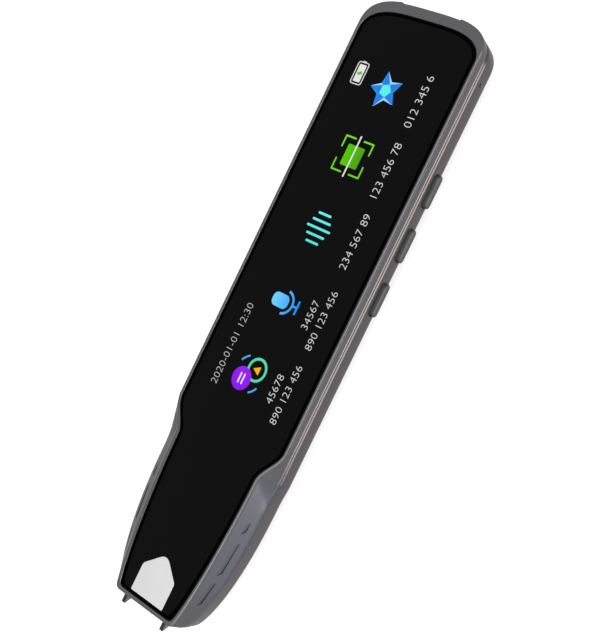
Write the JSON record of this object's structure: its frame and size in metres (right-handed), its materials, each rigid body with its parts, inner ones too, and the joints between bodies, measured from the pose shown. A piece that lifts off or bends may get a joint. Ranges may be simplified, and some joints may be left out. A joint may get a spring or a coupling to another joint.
{
  "type": "scanning pen",
  "caption": "Handheld scanning pen with a long glass face over a display, a tapered nose, a hinged scanning trigger in the tip, side keys and a speaker in the back.",
  "frame": {"origin": "middle of the flat strip along the back, which the pen lies on", "axes": "+X to the side with the keys, +Y along the body from the scanning tip to the top end, +Z out of the screen"},
  "size_m": [0.034, 0.1572, 0.0135],
  "materials": {
    "shell_grey": "moulded plastic with a satin metallic grey lacquer",
    "frame_grey": "moulded plastic with a satin metallic grey lacquer",
    "grip_inlay": "flat dark grey elastomer",
    "cover_glass": "polished, printed black on its back",
    "white_window": "milky white",
    "display_panel": "dark panel",
    "backlight_film": "white film",
    "amber_ribbon": "amber flexible laminate",
    "cast_chassis": "as cast",
    "circuit_board": "green solder mask",
    "bright_steel": "bright",
    "battery_pouch": "satin foil pouch",
    "black_foam": "foam and coated paper",
    "black_plastic": "moulded",
    "trigger_grey": "moulded, satin grey",
    "clear_lens": "clear",
    "lamp_body": "yellowish lens"
  },
  "bodies": {
    "casing": {"back_shell": "shell_grey", "battery_cell": "battery_pouch", "battery_pad": "black_foam", "board_screw_1": "bright_steel", "board_screw_2": "bright_steel", "board_screw_3": "bright_steel", "board_screw_4": "bright_steel", "camera_board": "circuit_board", "camera_housing": "black_plastic", "camera_lens": "clear_lens", "camera_ribbon": "amber_ribbon", "charging_socket": "bright_steel", "chassis_plate": "cast_chassis", "cover_glass": "cover_glass", "display_backlight": "backlight_film", "display_panel": "display_panel", "display_ribbon": "amber_ribbon", "front_frame": "frame_grey", "grille_mesh": "bright_steel", "grip_inlay_left_1": "grip_inlay", "grip_inlay_left_2": "grip_inlay", "grip_inlay_left_3": "grip_inlay", "grip_inlay_left_4": "grip_inlay", "grip_inlay_left_5": "grip_inlay", "grip_inlay_left_6": "grip_inlay", "grip_inlay_right_1": "grip_inlay", "grip_inlay_right_2": "grip_inlay", "grip_inlay_right_3": "grip_inlay", "grip_inlay_right_4": "grip_inlay", "grip_inlay_right_5": "grip_inlay", "grip_inlay_right_6": "grip_inlay", "key_board": "amber_ribbon", "key_switch_power": "black_plastic", "key_switch_volume_down": "black_plastic", "key_switch_volume_up": "black_plastic", "lamp_board": "circuit_board", "lens_barrel": "black_plastic", "main_board": "circuit_board", "memory_chip": "black_plastic", "micro_switch": "black_plastic", "microphone": "bright_steel", "scan_lamp_left": "lamp_body", "scan_lamp_right": "lamp_body", "scan_window": "clear_lens", "shield_can": "bright_steel", "sight_window": "white_window", "socket_tongue": "black_plastic", "speaker_cone": "black_foam", "speaker_frame": "black_plastic", "speaker_gasket": "black_foam", "trigger_pin": "bright_steel"},
    "trigger": {"trigger_lever": "trigger_grey"},
    "plunger": {"switch_plunger": "white_window"},
    "power_key": {"key_power": "frame_grey", "switch_button_power": "trigger_grey"},
    "volume_up_key": {"key_volume_up": "frame_grey", "switch_button_volume_up": "trigger_grey"},
    "volume_down_key": {"key_volume_down": "frame_grey", "switch_button_volume_down": "trigger_grey"}
  },
  "joints": [
    {"name": "trigger_hinge", "type": "hinge", "parent": "casing", "child": "trigger", "pos_m": [0, -0.0725, 0.002], "axis": [-1, 0, 0], "range_deg": [0, 4], "stiffness_Nm_per_rad": 0.02},
    {"name": "plunger_slide", "type": "slide", "parent": "casing", "child": "plunger", "axis": [0, 1, 0], "range_m": [0, 0.0003]},
    {"name": "power_press", "type": "slide", "parent": "casing", "child": "power_key", "axis": [-1, 0, 0], "range_m": [0, 0.0003], "stiffness_N_per_m": 400},
    {"name": "volume_up_press", "type": "slide", "parent": "casing", "child": "volume_up_key", "axis": [-1, 0, 0], "range_m": [0, 0.0003], "stiffness_N_per_m": 400},
    {"name": "volume_down_press", "type": "slide", "parent": "casing", "child": "volume_down_key", "axis": [-1, 0, 0], "range_m": [0, 0.0003], "stiffness_N_per_m": 400}
  ],
  "couplings": [
    {"joint": "plunger_slide", "follows": "trigger_hinge", "m_per_rad": 0.004}
  ]
}
